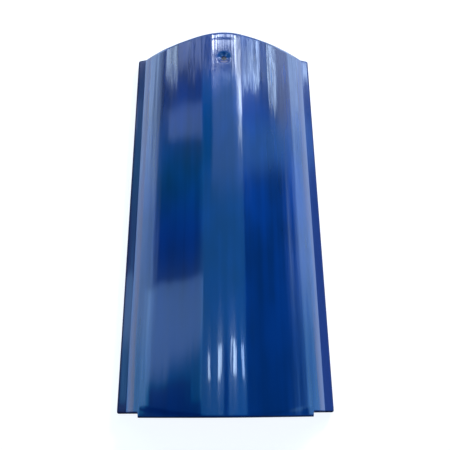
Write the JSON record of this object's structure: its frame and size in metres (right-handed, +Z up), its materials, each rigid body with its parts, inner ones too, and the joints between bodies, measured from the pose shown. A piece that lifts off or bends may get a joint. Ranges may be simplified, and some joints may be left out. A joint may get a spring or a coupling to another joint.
{
  "type": "verge tile",
  "caption": "Arched glazed clay verge tile with a rounded crest, flat side margins, a sunk nailing pad with a dished nail hole at the head and a slightly proud tail.",
  "frame": {"origin": "on the ground plane, below the middle of the tile", "axes": "+X across the tile, +Y along it towards the head with the nail hole, +Z up through the crest"},
  "size_m": [0.203, 0.4, 0.059],
  "materials": {
    "blue_glaze": "gloss"
  },
  "bodies": {
    "root": {"verge_tile": "blue_glaze"}
  },
  "joints": []
}
